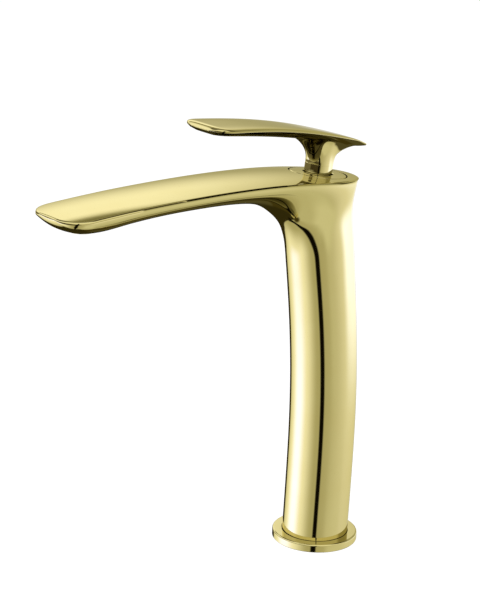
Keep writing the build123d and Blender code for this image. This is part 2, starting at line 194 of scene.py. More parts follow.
bodyShape = {
    "column": ((0, 0.0), (40, -1.1), (80, -1.9), (120, -0.8), (160, 2.7)),    # height, forward
    "columnRadius": 22.4,
    "boreRadius": 17.6,
    "plugHeight": 13.0,
    "fanForward": 78.0,
    "fanHeight": 197.0,
    "archRadius": 47.5,
    "archOpening": 2.6,
    # tilt, distance of the widest point from the fan line, half width, depth outwards
    "fan": ((0, 70.8, 22.4, 22.4), (14, 70.8, 22.4, 22.2), (24, 71.8, 22.4, 24.0),
            (31, 75.0, 22.9, 30.4), (37, 80.0, 24.2, 39.8), (46, 84.0, 26.6, 49.0),
            (60, 75.0, 27.0, 48.6), (75, 66.8, 26.4, 45.0), (90, 64.0, 25.9, 42.0)),
    # forward, height of the edge, half width, keel under the edge
    "spout": ((98, 261.6, 25.5, 12.8), (125, 261.3, 25.2, 12.2), (152, 260.6, 25.0, 12.1),
              (176, 259.5, 24.8, 13.2), (194, 258.4, 24.7, 14.4), (209, 257.3, 24.6, 11.4),
              (222, 256.0, 24.5, 4.6)),
    "spoutRise": 42.0,
    # forward, height of the top's middle line
    "crest": ((-50, 248.6), (-14, 255.0), (13.8, 258.8), (42, 261.4), (72, 262.8), (104, 263.1),
              (136, 262.5), (168, 261.3), (200, 259.2), (236, 256.0)),
    "crown": 1.5,
    "crownHalfWidth": 25.0,
    "reach": -cadLow.y / mm,
    "tipCorner": 17.0,
    "tipRound": 9.0,
    "tipBlunt": 3.0,
    "noseStart": 170.0,
    "noseBlend": 20.0,
    "headFront": 62.0,
    "outletForward": 197.0,
    "outletRadius": 9.15,
    "outletTop": 249.0,
    "coverRadius": 19.5,
    "coverDepth": 3.0,
    "rimRound": 1.3,
    "edgeRound": 0.3,
    "leastTurn": 0.6,
    # how finely the skin is divided
    "evenShare": 0.4,
    "around": 112,
    "across": 36,
    "columnRows": 41,
    "shoulderRows": 46,
    "openRows": 150,
    "noseRows": 25,
    "noseSpokes": 30,
    "headSpokes": 32,
}


def bodySections(shape):    # forward, height, tilt, half width, depth inwards, depth outwards
    r = shape["columnRadius"]
    rows = [(forward, height, 0, r, r, r) for height, forward in shape["column"]]
    for tilt, centre, halfWidth, outer in shape["fan"]:
        turn = math.radians(tilt)
        arch = shape["archRadius"] + shape["archOpening"] * (tilt / 90) ** 3
        forward = shape["fanForward"] - centre * math.cos(turn)
        height = shape["fanHeight"] + centre * math.sin(turn)
        rows.append((forward, height, tilt, halfWidth, centre - arch, outer))
    for forward, height, halfWidth, keel in shape["spout"]:
        rows.append((forward, height, 90, halfWidth, keel, shape["spoutRise"]))
    return np.array(rows, float)


bodyRows = bodySections(bodyShape)
crestAt = splineTable(bodyShape["crest"])
crownRadius = (bodyShape["crownHalfWidth"] ** 2 + bodyShape["crown"] ** 2) / (2 * bodyShape["crown"])


def topHeight(x, y):    # the crowned top face
    return crestAt(-np.asarray(y))[1] - (crownRadius - np.sqrt(crownRadius ** 2 - np.asarray(x) ** 2))


def sectionDepth(turn, inner, outer):    # egg-shaped section without a seam at its widest point
    lift = np.sin(turn)
    return lift * ((outer + inner) / 2 + (outer - inner) / 2 * np.tanh(3 * lift) / math.tanh(3))


def skinPoint(place, turn):    # point of the skin at a place along it and a turn around it
    forward, height, tilt, halfWidth, inner, outer = spline(bodyRows, place).T
    depth = sectionDepth(turn, inner, outer)
    tilt = np.radians(tilt)
    across = halfWidth * np.cos(turn)
    back = depth * np.cos(tilt) - forward
    return np.column_stack([across, back, height + depth * np.sin(tilt)])


def aboveTop(place, turn):
    p = skinPoint(place, turn)
    return p[:, 2] - topHeight(p[:, 0], p[:, 1])


def bisect(test, low, high, rounds=50):    # where a rising test passes zero, for many at once
    for _ in range(rounds):
        middle = (low + high) / 2
        high = np.where(test(middle) > 0, middle, high)
        low = np.where(test(middle) > 0, low, middle)
    return (low + high) / 2


def skinNormal(place, turn, step=1e-3):
    along = skinPoint(place + step, turn) - skinPoint(place - step, turn)
    around = skinPoint(place, turn + step) - skinPoint(place, turn - step)
    return unit(np.cross(along, around))


def topNormal(x, y, step=0.01):
    slopeX = (topHeight(x + step, y) - topHeight(x - step, y)) / (2 * step)
    slopeY = (topHeight(x, y + step) - topHeight(x, y - step)) / (2 * step)
    return unit(np.column_stack([-slopeX, -slopeY, np.ones(len(x))]))


def roundRim(points, rim, skinNormals, isTop, width):    # rolls the top's edge over into the skin
    place = np.array(points.all)
    edge = place[rim]
    along = unit(np.roll(edge, -1, axis=0) - np.roll(edge, 1, axis=0))
    down = unit(np.cross(along, skinNormals))
    down *= -np.sign(down[:, 2:3])
    inward = unit(np.cross(along, topNormal(edge[:, 0], edge[:, 1])))
    inward *= -np.sign(np.sum(inward * skinNormals, axis=1))[:, None]
    tree = KDTree(len(edge))
    for k, corner in enumerate(edge):
        tree.insert(corner, k)
    tree.balance()
    for number, point in enumerate(place):
        _, k, _ = tree.find(point)
        offset = point - edge[k]
        away = np.linalg.norm(offset - along[k] * np.dot(offset, along[k]))
        if away < width and np.linalg.norm(offset) < 2 * width:
            own, other = (inward[k], down[k]) if isTop[number] else (down[k], inward[k])
            turn = (1 - away / width) / 2
            points.all[number] = point + ((1 - turn) ** 2 * width - away) * own + turn ** 2 * width * other


def buildBody(shape):
    points, faces = Points(), []
    around, across = shape["around"], shape["across"]
    columnCount = len(shape["column"])
    bendLast = columnCount + 6    # from this section on the skin only runs forward

    def aboveAtBack(place):
        return aboveTop(place, np.full(1, math.pi / 2))

    backRim = bisect(aboveAtBack, np.array([columnCount + 1.0]), np.array([columnCount + 6.0]))[0]
    noseAt = splineTable(np.column_stack([bodyRows[:, 0], np.arange(len(bodyRows))])[bendLast:])
    noseStart = float(noseAt(shape["noseStart"])[1])

    # closed rows of the column, then rows that open at the rim and follow the top's edge
    share = np.linspace(-1, 1, around + 1)
    columnPlaces = np.linspace(0, columnCount - 1, shape["columnRows"] + 1)[:-1]
    shoulderPlaces = np.linspace(columnCount - 1, backRim, shape["shoulderRows"])
    closedPlaces = np.concatenate([columnPlaces, shoulderPlaces])
    openPlaces = backRim + (noseStart - backRim) * np.linspace(0, 1, shape["openRows"] + 1)[1:] ** 2
    rows = []
    for place in closedPlaces:
        ring = skinPoint(np.full(around, place), -math.pi / 2 + share[:-1] * math.pi)
        numbers = points.add(ring)
        rows.append(numbers + numbers[:1])

    def aboveAtTurn(turn):
        return aboveTop(openPlaces, turn - math.pi / 2)

    lowTurns = np.full(shape["openRows"], shape["leastTurn"])
    reachOut = bisect(aboveAtTurn, lowTurns, np.full(shape["openRows"], math.pi))
    for place, reach in zip(openPlaces, reachOut):
        rows.append(points.add(skinPoint(np.full(around + 1, place), -math.pi / 2 + share * reach)))
    faces += gridFaces(rows)
    leftEdge = [row[0] for row in rows[len(closedPlaces) - 1:]]
    rightEdge = [row[-1] for row in rows[len(closedPlaces) - 1:]]

    # nose: plan outline with round corners, one row of the top face at each step
    reach, corner = shape["reach"], shape["tipCorner"]
    sectionAt = splineTable(bodyRows[bendLast + 1:])

    def noseHalfWidth(forward):
        into = np.clip(forward - (reach - corner), 0, corner)
        return sectionAt(forward)[3] - corner + np.sqrt(corner ** 2 - into ** 2)

    def underHeight(x, y):
        forward = -y
        _, height, _, _, inner, outer = sectionAt(forward)
        halfWidth = noseHalfWidth(forward)
        turn = -np.arccos(np.clip(np.abs(x) / halfWidth, 0, 1))
        into = np.clip((forward - (reach - shape["tipRound"])) / shape["tipRound"], 0, 1)
        mix = smoothStep(shape["noseStart"], shape["noseStart"] + shape["noseBlend"], forward)
        edge = height * (1 - mix) + topHeight(halfWidth, y) * mix
        blunt = shape["tipBlunt"]
        return edge + sectionDepth(turn, inner, outer) * (1 - into ** blunt) ** (1 / blunt)

    startForward = -points.all[rows[-1][0]][1]
    straight = np.linspace(startForward, reach - corner, shape["noseRows"] + 1)[1:]
    turning = reach - corner + corner * np.sin(np.linspace(0, math.pi / 2, shape["noseRows"] + 1)[1:])
    topRows = []
    topFirst = len(points.all)

    def topRow(left, right):    # points between two edge points, on the top face
        a, b = points.all[left], points.all[right]
        shares = np.linspace(-1, 1, across + 1)[1:-1]
        even = shape["evenShare"]
        shares = even * shares + (1 - even) * np.sin(shares * math.pi / 2)    # closer together at the edges
        x = (a[0] + b[0]) / 2 + (b[0] - a[0]) / 2 * shares
        y = np.full(across - 1, a[1])
        return [left] + points.add(np.column_stack([x, y, topHeight(x, y)])) + [right]

    ringFront = next(k for k, number in enumerate(leftEdge) if -points.all[number][1] > shape["headFront"])
    for left, right in zip(leftEdge[ringFront:], rightEdge[ringFront:]):
        topRows.append(topRow(left, right))
    for forward in np.concatenate([straight, turning]):
        x = float(noseHalfWidth(forward))
        ends = points.add([(-x, -forward, topHeight(x, -forward)), (x, -forward, topHeight(x, -forward))])
        topRows.append(topRow(*ends))
    faces += gridFaces(topRows)

    # under the nose, spokes run from the edge to the outlet's ring
    topLast = len(points.all)
    noseRows = topRows[-len(straight) - len(turning):]
    leftNose = [row[0] for row in noseRows]
    rightNose = [row[-1] for row in noseRows]
    edgeLoop = rows[-1] + rightNose + noseRows[-1][-2:0:-1] + leftNose[::-1]
    outlet = np.array((0, -shape["outletForward"]))
    plan = points.at(edgeLoop)[:, :2] - outlet
    plan *= shape["outletRadius"] / np.linalg.norm(plan, axis=1)[:, None]
    spokeRows, spokeFaces = ringSpokes(points, edgeLoop, plan + outlet, underHeight, shape["noseSpokes"])
    faces += spokeFaces
    outletRing = points.at(spokeRows[-1])
    outletRing[:, 2] = shape["outletTop"]
    outletEnd = points.add(outletRing)
    faces += gridFaces([spokeRows[-1], outletEnd], closed=True)
    faces.append(tuple(outletEnd))

    # on the head, spokes run from the edge to the seat of the cover plate
    headFirst = len(points.all)
    headLoop = leftEdge[:ringFront] + topRows[0] + rightEdge[1:ringFront][::-1]
    turns = np.array([math.atan2(points.all[k][1] - axisTop.y, points.all[k][0]) for k in headLoop])
    seat = shape["coverRadius"] * np.column_stack([np.cos(turns), np.sin(turns) * axisUp.z])
    headRows, headFaces = ringSpokes(points, headLoop, seat + (0, axisTop.y), topHeight, shape["headSpokes"])
    faces += headFaces

    # the rim all around the top face, with the skin's normals along it
    noseEnd = leftNose + noseRows[-1][1:-1] + rightNose[::-1]
    rim = leftEdge + noseEnd + rightEdge[:0:-1]
    sidePlaces = np.concatenate([closedPlaces[-1:], openPlaces])
    sideTurns = np.concatenate([[math.pi], reachOut])
    leftNormals = skinNormal(sidePlaces, -math.pi / 2 - sideTurns)
    rightNormals = skinNormal(sidePlaces, -math.pi / 2 + sideTurns)[:0:-1]
    noseAlong = np.gradient(points.at(noseEnd), axis=0)
    noseNormals = unit(np.column_stack([noseAlong[:, 1], -noseAlong[:, 0], 0 * noseAlong[:, 0]]))
    numbers = np.arange(len(points.all))
    isTop = (numbers >= headFirst) | ((numbers >= topFirst) & (numbers < topLast))
    roundRim(points, rim, np.vstack([leftNormals, noseNormals, rightNormals]), isTop, shape["rimRound"])
    seatNumbers = points.add(points.at(headRows[-1]) - np.array(axisUp) * shape["coverDepth"])
    faces += gridFaces([headRows[-1], seatNumbers], closed=True)
    faces.append(tuple(seatNumbers))

    # foot: rim and the start of the bore, closed above the foot plug
    foot = rows[0][:-1]
    shrink = shape["boreRadius"] / shape["columnRadius"]
    inner = points.at(foot) * (shrink, shrink, 1)
    bore = points.add(inner)
    boreTop = points.add(inner + (0, 0, shape["plugHeight"]))
    faces += gridFaces([foot, bore, boreTop], closed=True)
    faces.append(tuple(boreTop))
    body = makePiece("bodySkin", points.all, faces, "body")
    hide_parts("body_casting")
    return softenEdges(body, shape["edgeRound"])


bodySkin = buildBody(bodyShape)
print("body skin:", len(bodySkin.data.polygons), "faces")

# foot flange

flangeShape = {
    "innerRadius": 22.75, "edgeRound": 1.1, "footChamfer": 0.4, "innerRound": 0.25, "seamRound": 0.15,
}


def buildFlange(shape):
    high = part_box("base_flange")[1] / mm
    radius, height, edge, chamfer = high.x, high.z, shape["edgeRound"], shape["footChamfer"]
    inner, lip = shape["innerRadius"], shape["innerRound"]
    profile = [(inner, 0), (radius - chamfer, 0), (radius, chamfer)]
    profile += arc(radius - edge, height - edge, edge, 0, 90, 9)
    profile += arc(inner + lip, height - lip, lip, 90, 180, 5)
    points, faces = lathe(profile)
    flange = makePiece("footFlange", points, faces, "body")
    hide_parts("base_flange")
    return softenEdges(flange, shape["seamRound"])


footFlange = buildFlange(flangeShape)

# cover plate of the head and the collar of the stem

coverShape = {
    "outerRadius": 18.7, "holeRadius": 10.0, "depth": 2.9, "edgeRound": 0.5, "rings": 14, "segments": 160,
}


def buildCover(shape):
    points = Points()
    turns = np.linspace(0, 2 * math.pi, shape["segments"], endpoint=False)
    rows = []
    for radius in np.linspace(shape["outerRadius"], shape["holeRadius"], shape["rings"]):
        x, y = radius * np.cos(turns), axisTop.y + radius * np.sin(turns) * axisUp.z
        rows.append(points.add(np.column_stack([x, y, topHeight(x, y)])))
    down = np.array(axisUp) * shape["depth"]
    low = [points.add(points.at(row) - down) for row in (rows[-1], rows[0])]
    faces = gridFaces(rows + low + rows[:1], closed=True)
    plate = makePiece("headCover", points.all, faces, "body")
    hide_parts("cover_plate")
    return softenEdges(plate, shape["edgeRound"])


headCover = buildCover(coverShape)

collarShape = {
    "radius": 9.2, "boreRadius": 8.35, "foot": -2.5, "neckRadius": 8.7, "neckTop": 1.0,
    "ballRadius": 15.0, "pivot": -6.0, "edgeRound": 0.2,
}


def buildCollar(shape):
    radius, bore, ball = shape["radius"], shape["boreRadius"], shape["ballRadius"]
    start = math.degrees(math.acos(radius / ball))
    end = math.degrees(math.acos(bore / ball))
    neck, neckTop = shape["neckRadius"], shape["neckTop"]
    profile = [(bore, shape["foot"]), (neck, shape["foot"]), (neck, neckTop), (radius, neckTop)]
    profile += arc(0, shape["pivot"], ball, start, end, 4)
    points, faces = lathe(profile)
    collar = makePiece("stemCollar", onAxis(points), faces, "rotor")
    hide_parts("stem_collar")
    return softenEdges(collar, shape["edgeRound"])


stemCollar = buildCollar(collarShape)
print("head and collar done")

# lever: leaf blade and flared stem

leverShape = {
    # forward, height of the edge, half width, depth under the edge
    "sections": ((-27.5, 272.4, 0.9, 0.9), (-16, 277.0, 6.4, 4.4), (-2, 280.7, 11.2, 4.8),
                 (16, 285.3, 14.8, 5.1), (38, 290.1, 17.0, 5.2), (62, 293.8, 18.4, 5.0),
                 (84, 296.0, 19.6, 4.4), (101, 297.2, 20.7, 3.7), (118, 298.5, 21.2, 2.5)),
    "edgeWall": 0.15,
    "wallFrom": 25.0,
    "rise": 0.11,
    "topFlat": 4.0,
    "underFlat": 5.0,
    "tipFlat": 2.5,
    "reach": 111.4,
    "corner": 12.0,
    "tailRound": 1.6,
    "tipRound": 5.0,
    "stemRadius": 9.2,
    "stemFoot": 5.75,
    "stemStraight": 7.0,
    "flareFront": 28.0,
    "flareSide": 20.0,
    "flareBack": 40.0,
    "flareShare": 0.84,
    "flareProbe": 1.02,
    "frontEase": 0.55,
    "backEase": 0.25,
    "backFrom": 0.8,
    "kneeEase": 0.22,
    "kneeSteep": 0.3,
    "spokeHeight": 20.0,
    "cupWall": 1.4,
    "cupRise": 0.9,
    "edgeRound": 0.4,
    # how finely it is divided
    "evenShare": 0.65,
    "across": 26,
    "along": 120,
    "bladeSteps": 14,
    "flareSteps": 16,
}


def buildLever(shape):
    points, faces = Points(), []
    sectionAt = splineTable(shape["sections"])
    reach, corner, tail = shape["reach"], shape["corner"], shape["sections"][0][0]

    def behindShare(forward):    # 0 along the blade, 1 at the end of its tail
        return np.clip((tail + shape["tailRound"] - forward) / shape["tailRound"], 0, 1)

    def halfWidth(forward):
        into = np.clip(forward - (reach - corner), 0, corner)
        width = sectionAt(forward)[2] - corner + np.sqrt(corner ** 2 - into ** 2)
        return np.maximum(width * np.sqrt(1 - behindShare(forward) ** 2), 1e-3)

    def shares(x, forward):    # 0 in the middle, 1 at the side, at the tip and at the tail
        side = np.clip(np.abs(x) / halfWidth(forward), 0, 1)
        into = np.clip((forward - (reach - shape["tipRound"])) / shape["tipRound"], 0, 1)
        return side, into, behindShare(forward)

    def crown(x, forward):    # 1 in the middle, 0 all along the outline
        side, into, behind = shares(x, forward)
        across = (1 - side ** shape["topFlat"]) ** (1 / shape["topFlat"])
        return across * np.sqrt(1 - into ** 2) * np.sqrt(1 - behind ** 2)

    def belly(x, forward):    # the same for the underside, which leaves the outline at a slope
        side, into, behind = shares(x, forward)
        return (1 - side ** shape["underFlat"]) * (1 - into ** shape["tipFlat"]) * (1 - behind ** 2)

    def topOf(x, y):
        _, edge, width, _ = sectionAt(-y)
        return edge + shape["rise"] * width * crown(x, -y)

    def wallOf(forward):    # height of the blade's upright edge
        return shape["edgeWall"] * smoothStep(tail, tail + shape["wallFrom"], forward)

    def underOf(x, y):
        _, edge, _, keel = sectionAt(-y)
        return edge - wallOf(-y) - keel * belly(x, -y)

    ends = (1 - np.cos(np.linspace(0, math.pi, shape["along"] + 1))) / 2    # closer together at both ends
    even = shape["evenShare"]
    forwards = tail + (reach - tail) * ((1 - even) * ends + even * np.linspace(0, 1, shape["along"] + 1))
    sides = -np.cos(np.linspace(0, math.pi, shape["across"] + 1))
    topRows = []
    for forward in forwards:
        x = sides * float(halfWidth(np.array(forward)))
        y = np.full(len(x), -forward)
        topRows.append(points.add(np.column_stack([x, y, topOf(x, y)])))
    faces += gridFaces(topRows)
    leftSide = [row[0] for row in topRows]
    rightSide = [row[-1] for row in topRows]
    edgeLoop = leftSide + topRows[-1][1:-1] + rightSide[::-1] + topRows[0][-2:0:-1]

    # spokes: from the blade's edge along its underside, then down the flare to the stem's foot
    edge = points.at(edgeLoop)
    up = np.array(axisUp)
    stemY = axisTop.y + shape["spokeHeight"] * axisUp.y
    toEdge = edge[:, :2] - (0, stemY)
    distance = np.linalg.norm(toEdge, axis=1)
    outward = toEdge / distance[:, None]
    longWay = np.where(outward[:, 1] < 0, shape["flareFront"], shape["flareBack"])
    flare = 1 / np.sqrt((outward[:, 0] / shape["flareSide"]) ** 2 + (outward[:, 1] / longWay) ** 2)
    flare = (flare ** -4 + (shape["flareShare"] * distance) ** -4) ** -0.25

    def underAt(reachOut):    # points of the underside, each at its own distance from the stem
        plan = outward * reachOut[:, None] + (0, stemY)
        return np.column_stack([plan, underOf(plan[:, 0], plan[:, 1])])

    def stemRing(radius, height):    # points of the stem, in line with the spokes
        return onAxis(np.column_stack([outward * radius, np.full(len(outward), height)]))

    wall = np.column_stack([0 * distance, 0 * distance, wallOf(-edge[:, 1])])
    rows = [edgeLoop, points.add(edge - wall)]
    for k in range(1, shape["bladeSteps"] + 1):
        share = 1 - math.cos(k / shape["bladeSteps"] * math.pi / 2)
        rows.append(points.add(underAt(distance * (1 - share) + flare * share)))
    start = points.at(rows[-1])
    slope = unit(start - underAt(flare * shape["flareProbe"]))
    knee = stemRing(shape["stemRadius"], shape["stemStraight"])
    fall = np.linalg.norm(start - knee, axis=1)[:, None]
    run = (flare - shape["stemRadius"])[:, None]
    behind = smoothStep(0, shape["backFrom"], outward[:, 1:])
    ease = shape["frontEase"] * (1 - behind) + shape["backEase"] * behind
    second = start + slope * ease * run
    third = knee + up * fall * (shape["kneeEase"] + shape["kneeSteep"] * (1 - run / fall))
    for k in range(1, shape["flareSteps"] + 1):
        s = k / shape["flareSteps"]
        t = 1 - s
        curve = t ** 3 * start + 3 * s * t ** 2 * second + 3 * s * s * t * third + s ** 3 * knee
        rows.append(points.add(curve))
    rows.append(points.add(stemRing(shape["stemRadius"], shape["stemFoot"])))
    faces += gridFaces(rows, closed=True)
    cupRadius, cupHeight = shape["stemRadius"] - shape["cupWall"], shape["stemFoot"] + shape["cupRise"]
    cup = points.add(stemRing(cupRadius, cupHeight))
    faces += gridFaces([rows[-1], cup], closed=True)
    faces.append(tuple(cup))
    lever = makePiece("leverLeaf", points.all, faces, "lever")
    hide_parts("lever_handle")
    return softenEdges(lever, shape["edgeRound"])


leverLeaf = buildLever(leverShape)
print("lever:", len(leverLeaf.data.polygons), "faces")

# aerator ring under the tip

aeratorShape = {"outerRadius": 9.05, "boreRadius": 7.65, "edgeRound": 0.3}


def buildAerator(shape):
    low, high = (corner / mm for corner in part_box("aerator_housing"))
    outer, bore, edge = shape["outerRadius"], shape["boreRadius"], shape["edgeRound"]
    profile = [(bore, high.z), (bore, low.z + edge)] + arc(bore + edge, low.z + edge, edge, 180, 270, 5)
    profile += arc(outer - edge, low.z + edge, edge, 270, 360, 5) + [(outer, high.z)]
    points, faces = lathe(profile, 96)
    points[:, 1] += (low.y + high.y) / 2
    ring = makePiece("aeratorRing", points, faces, "body")
    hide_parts("aerator_housing")
    return ring


aeratorRing = buildAerator(aeratorShape)

# round plug over the set screw, at the back of the stem

capShape = {
    "radius": 2.6, "lip": 0.1, "dome": 0.06, "depth": 1.2, "height": 13.0, "lookFrom": 40.0, "near": 6.0,
}


def buildCap(shape):
    mesh = leverLeaf.data
    corners = [vertex.co / mm for vertex in mesh.vertices]
    skin = BVHTree.FromPolygons(corners, [tuple(face.vertices) for face in mesh.polygons])
    start = Vector(onAxis([(0, shape["lookFrom"], shape["height"])])[0])
    seat, out, _, _ = skin.ray_cast(start, -axisBack)
    out = out if out.dot(axisBack) > 0 else -out
    radius, lip = shape["radius"], shape["lip"]
    profile = [(0.01, -shape["depth"]), (radius, -shape["depth"])] + arc(radius - lip, 0, lip, 0, 70, 5)
    profile += [(radius * share, lip + shape["dome"] * (1 - share ** 2)) for share in (0.7, 0.45, 0.2, 0.004)]
    points, faces = lathe(profile, 64)
    turn = out.to_track_quat("Z", "Y").to_matrix()
    for k, (x, y, height) in enumerate(points):    # the plug's face follows the stem
        above = seat + turn @ Vector((x, y, shape["near"]))
        points[k] = skin.ray_cast(above, -out)[0] + out * height
    cap = makePiece("screwPlug", points, faces, "lever")
    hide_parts("screw_cap")
    return cap


screwPlug = buildCap(capShape)
print("plug done")

# materials

goldAndPaintedShade = {
    "color": (0.91, 0.8, 0.36, 1), "shade": (0.9, 0.785, 0.345, 1), "metallic": 1,
    "edgeTint": (0.97, 0.93, 0.7, 1),
    "roughness": 0.05, "spread": 0.02, "scale": 60, "stretch": (1, 1, 1), "relief": 0.004,
    # painted shade: darker base colours used only in reflections, darkest on faces turned up
    "paintedShadeSide": (0.5, 0.46, 0.28), "paintedShadeTop": (0.08, 0.07, 0.035), "topFrom": 0.5, "topTo": 0.9,
}
# painted shade: in reflections the column's front is painted darker from one height to another, where the
# arch mirrors it
bodyWithPaintedShade = dict(goldAndPaintedShade, paintedShadeArch=(0.05, 0.043, 0.02), archFrom=60, archTo=130)
footWithPaintedShade = dict(goldAndPaintedShade, paintedShadeTop=(0.62, 0.56, 0.32))    # painted reflection: in mirrors the flange's upward faces keep a lighter painted shade, so the column mirrors a lighter flange
brassFinish = {
    "color": (0.78, 0.6, 0.3, 1), "shade": (0.64, 0.47, 0.22, 1), "metallic": 1,
    "roughness": 0.28, "spread": 0.2, "scale": 220, "stretch": (1, 1, 9), "relief": 0.03,
}
rubberFinish = {
    "color": (0.02, 0.02, 0.021, 1), "shade": (0.035, 0.034, 0.033, 1), "metallic": 0,
    "roughness": 0.72, "spread": 0.2, "scale": 600, "stretch": (1, 1, 1), "relief": 0.05,
}
cartridgeFinish = {
    "color": (0.72, 0.73, 0.71, 1), "shade": (0.66, 0.67, 0.64, 1), "metallic": 0,
    "roughness": 0.42, "spread": 0.15, "scale": 300, "stretch": (1, 1, 1), "relief": 0.02,
}
ceramicFinish = {
    "color": (0.86, 0.85, 0.82, 1), "shade": (0.8, 0.78, 0.74, 1), "metallic": 0,
    "roughness": 0.16, "spread": 0.06, "scale": 900, "stretch": (1, 1, 1), "relief": 0.004,
}
steelFinish = {
    "color": (0.63, 0.64, 0.65, 1), "shade": (0.52, 0.53, 0.55, 1), "metallic": 1,
    "roughness": 0.24, "spread": 0.14, "scale": 500, "stretch": (9, 1, 1), "relief": 0.01,
}
screenFinish = {
    "color": (0.8, 0.81, 0.8, 1), "shade": (0.7, 0.71, 0.7, 1), "metallic": 0,
    "roughness": 0.38, "spread": 0.12, "scale": 700, "stretch": (1, 1, 1), "relief": 0.02,
}
plugFinish = {
    "color": (0.84, 0.71, 0.3, 1), "shade": (0.78, 0.64, 0.25, 1), "metallic": 0.85,
    "roughness": 0.2, "spread": 0.1, "scale": 500, "stretch": (1, 1, 1), "relief": 0.006,
}


def rampNode(tree, value, low, high):    # smooth 0 to 1 between two values
    ramp = tree.nodes.new("ShaderNodeMapRange")
    ramp.interpolation_type = "SMOOTHSTEP"
    ramp.inputs["From Min"].default_value = low
    ramp.inputs["From Max"].default_value = high
    tree.links.new(value, ramp.inputs["Value"])
    return ramp.outputs["Result"]


def dotWith(tree, value, direction):
    dot = tree.nodes.new("ShaderNodeVectorMath")
    dot.operation = "DOT_PRODUCT"
    tree.links.new(value, dot.inputs[0])
    dot.inputs[1].default_value = direction
    return dot.outputs["Value"]


def mathNode(tree, operation, first, second=None):
    node = tree.nodes.new("ShaderNodeMath")
    node.operation = operation
    for value, socket in zip((first, second), node.inputs):
        if isinstance(value, (int, float)):
            socket.default_value = value
        elif value is not None:
            tree.links.new(value, socket)
    return node.outputs[0]


def newMaterial(name):
    material = bpy.data.materials.new(name)
    material.use_nodes = True
    return material, material.node_tree, material.node_tree.nodes["Principled BSDF"]


def mixColors(tree, share, under, over):    # paint one colour over another
    mix = tree.nodes.new("ShaderNodeMix")
    mix.data_type = "RGBA"
    sockets = [socket for socket in mix.inputs if socket.type == "RGBA"]
    for value, socket in zip((share, under, over), [mix.inputs["Factor"]] + sockets):
        if isinstance(value, tuple):
            socket.default_value = value[:3] + (1,)
        else:
            tree.links.new(value, socket)
    return next(socket for socket in mix.outputs if socket.type == "RGBA")


def finishGroup():    # the fine unevenness that every finish has: cloudy tone, uneven gloss, low relief
    group = bpy.data.node_groups.new("fineUnevenness", "ShaderNodeTree")
    for name, kind in (("Color", "Color"), ("Shade", "Color"), ("Scale", "Float"), ("Stretch", "Vector"),
                       ("Roughness", "Float"), ("Spread", "Float")):
        group.interface.new_socket(name, in_out="INPUT", socket_type="NodeSocket" + kind)
    for name, kind in (("Color", "Color"), ("Roughness", "Float"), ("Height", "Float")):
        group.interface.new_socket(name, in_out="OUTPUT", socket_type="NodeSocket" + kind)
    given = group.nodes.new("NodeGroupInput").outputs
    result = group.nodes.new("NodeGroupOutput").inputs
    place = group.nodes.new("ShaderNodeVectorMath")
    place.operation = "MULTIPLY"
    group.links.new(group.nodes.new("ShaderNodeTexCoord").outputs["Object"], place.inputs[0])
    group.links.new(given["Stretch"], place.inputs[1])

    def noise(times):
        cloud = group.nodes.new("ShaderNodeTexNoise")
        cloud.inputs["Detail"].default_value = 3
        group.links.new(place.outputs["Vector"], cloud.inputs["Vector"])
        group.links.new(mathNode(group, "MULTIPLY", given["Scale"], times), cloud.inputs["Scale"])
        return cloud.outputs["Fac"]

    broad, fine = noise(1.0), noise(6.0)
    tone = mixColors(group, rampNode(group, broad, 0.3, 0.7), given["Color"], given["Shade"])
    group.links.new(tone, result["Color"])
    uneven = mathNode(group, "MULTIPLY", mathNode(group, "SUBTRACT", fine, 0.5), given["Spread"])
    group.links.new(mathNode(group, "ADD", given["Roughness"], uneven), result["Roughness"])
    group.links.new(mathNode(group, "ADD", mathNode(group, "MULTIPLY", fine, 0.4), broad), result["Height"])
    return group


def finishMaterial(name, finish):
    material, tree, shader = newMaterial(name)
    uneven = tree.nodes.new("ShaderNodeGroup")
    uneven.node_tree = fineUnevenness
    for key in ("color", "shade", "scale", "stretch", "roughness", "spread"):
        uneven.inputs[key.capitalize()].default_value = finish[key]
    bump = tree.nodes.new("ShaderNodeBump")
    bump.inputs["Distance"].default_value = finish["relief"] * mm
    tree.links.new(uneven.outputs["Height"], bump.inputs["Height"])
    tree.links.new(bump.outputs["Normal"], shader.inputs["Normal"])
    tree.links.new(uneven.outputs["Roughness"], shader.inputs["Roughness"])
    shader.inputs["Metallic"].default_value = finish["metallic"]
    color = uneven.outputs["Color"]
    if "edgeTint" in finish:
        shader.inputs["Specular Tint"].default_value = finish["edgeTint"]
    if "paintedShadeTop" in finish:    # painted shade: seen in reflections the base colour is painted darker, most of all where the surface faces up
        mirrored = tree.nodes.new("ShaderNodeLightPath").outputs["Is Glossy Ray"]
        surface = tree.nodes.new("ShaderNodeNewGeometry").outputs
        side = finish["paintedShadeSide"]
        # painted shade: darker still on the column's front between two heights, seen only in reflections
        if "paintedShadeArch" in finish:
            height = dotWith(tree, surface["Position"], (0, 0, 1))
            share = rampNode(tree, height, finish["archFrom"] * mm, finish["archTo"] * mm)
            side = mixColors(tree, share, side, finish["paintedShadeArch"])
        facing = dotWith(tree, surface["Normal"], (0, 0, 1))
        upward = rampNode(tree, facing, finish["topFrom"], finish["topTo"])
        paintedReflectionShade = mixColors(tree, upward, side, finish["paintedShadeTop"])
        color = mixColors(tree, mirrored, color, paintedReflectionShade)
    tree.links.new(color, shader.inputs["Base Color"])
    return material


def coat(material, *pieces):
    for piece in pieces:
        piece.data.materials.clear()
        piece.data.materials.append(material)


